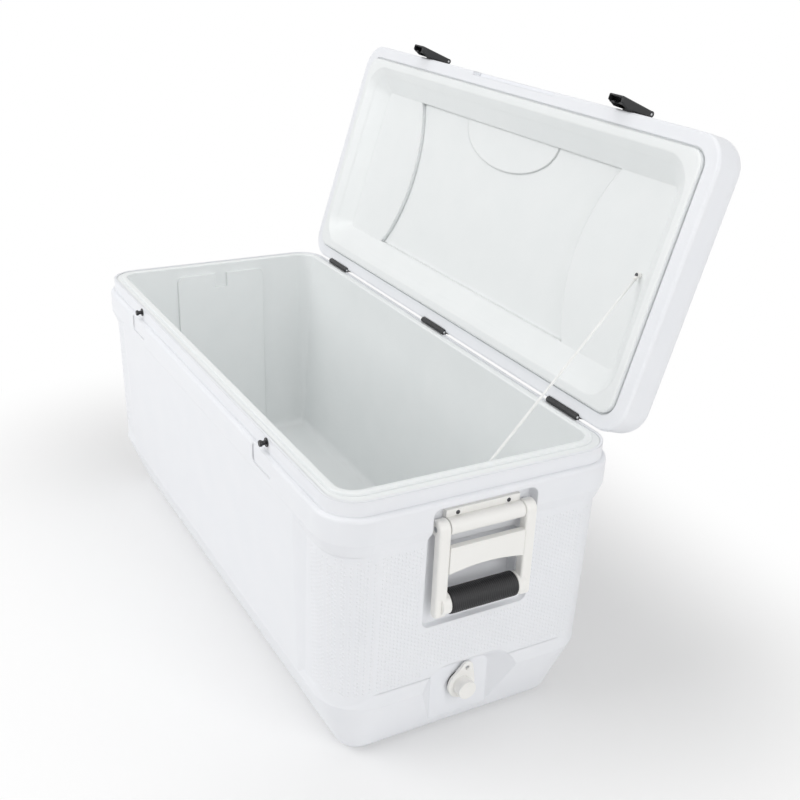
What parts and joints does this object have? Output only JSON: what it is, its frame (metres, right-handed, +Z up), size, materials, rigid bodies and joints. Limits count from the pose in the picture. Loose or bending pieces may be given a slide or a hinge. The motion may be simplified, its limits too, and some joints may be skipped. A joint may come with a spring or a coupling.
{
  "type": "chest cooler",
  "caption": "Large insulated chest cooler with a hinged lid held open by a stay cord, draw latches, swing handles and a capped drain.",
  "frame": {"origin": "middle of the flat underside", "axes": "+Z up, +X along the chest towards the drain, -Y towards the latches"},
  "size_m": [1.106, 0.6441, 0.9066],
  "materials": {
    "white_shell": "satin moulded polyethylene",
    "white_liner": "smooth moulded plastic",
    "foam": "rigid foam",
    "black_plastic": "satin",
    "black_rubber": "matt",
    "white_moulding": "satin",
    "steel": "bright",
    "white_cord": "woven cord"
  },
  "bodies": {
    "body": {"outer_shell": "white_shell", "inner_liner": "white_liner", "body_foam": "foam", "hinge_body_leaf_left": "black_plastic", "hinge_body_leaf_centre": "black_plastic", "hinge_body_leaf_right": "black_plastic", "hinge_pin_left": "steel", "hinge_pin_centre": "steel", "hinge_pin_right": "steel", "hinge_screws_body": "steel", "keeper_post_left": "black_plastic", "keeper_post_right": "black_plastic", "handle_bracket_left": "white_moulding", "handle_bracket_right": "white_moulding", "handle_pin_left": "steel", "handle_pin_right": "steel", "handle_screws": "steel", "drain_spout": "white_moulding", "drain_gasket": "black_rubber", "drain_nut": "white_moulding", "stay_body_anchor": "white_moulding", "stay_cord": "white_cord"},
    "lid": {"lid_shell": "white_shell", "lid_liner": "white_liner", "lid_foam": "foam", "hinge_lid_leaf_left": "black_plastic", "hinge_lid_leaf_centre": "black_plastic", "hinge_lid_leaf_right": "black_plastic", "hinge_screws_lid": "steel", "latch_base_left": "black_plastic", "latch_base_right": "black_plastic", "latch_pin_left": "steel", "latch_pin_right": "steel", "latch_screws": "steel", "stay_lid_anchor": "white_moulding"},
    "latch_left": {"latch_lever_left": "black_rubber"},
    "latch_right": {"latch_lever_right": "black_rubber"},
    "handle_left": {"handle_bail_left": "white_moulding", "handle_grip_left": "black_rubber"},
    "handle_right": {"handle_bail_right": "white_moulding", "handle_grip_right": "black_rubber"},
    "drain_cap": {"drain_cap": "white_moulding"}
  },
  "joints": [
    {"name": "lid_hinge", "type": "hinge", "parent": "body", "child": "lid", "pos_m": [0, 0.2245, 0.454], "axis": [1, 0, 0], "range_deg": [0, 106.8], "deforming": ["stay_cord"]},
    {"name": "latch_left_swing", "type": "hinge", "parent": "lid", "child": "latch_left", "pos_m": [-0.298, 0.3967, 0.8773], "axis": [-1, 0, 0], "range_deg": [0, 100]},
    {"name": "latch_right_swing", "type": "hinge", "parent": "lid", "child": "latch_right", "pos_m": [0.298, 0.3967, 0.8773], "axis": [-1, 0, 0], "range_deg": [0, 100]},
    {"name": "handle_left_swing", "type": "hinge", "parent": "body", "child": "handle_left", "pos_m": [-0.532, 0, 0.387], "axis": [0, 1, 0], "range_deg": [0, 100]},
    {"name": "handle_right_swing", "type": "hinge", "parent": "body", "child": "handle_right", "pos_m": [0.532, 0, 0.387], "axis": [0, -1, 0], "range_deg": [0, 100]},
    {"name": "drain_cap_turn", "type": "hinge", "parent": "body", "child": "drain_cap", "pos_m": [0.5, 0, 0.086], "axis": [1, 0, 0], "range_deg": [0, 90]}
  ]
}
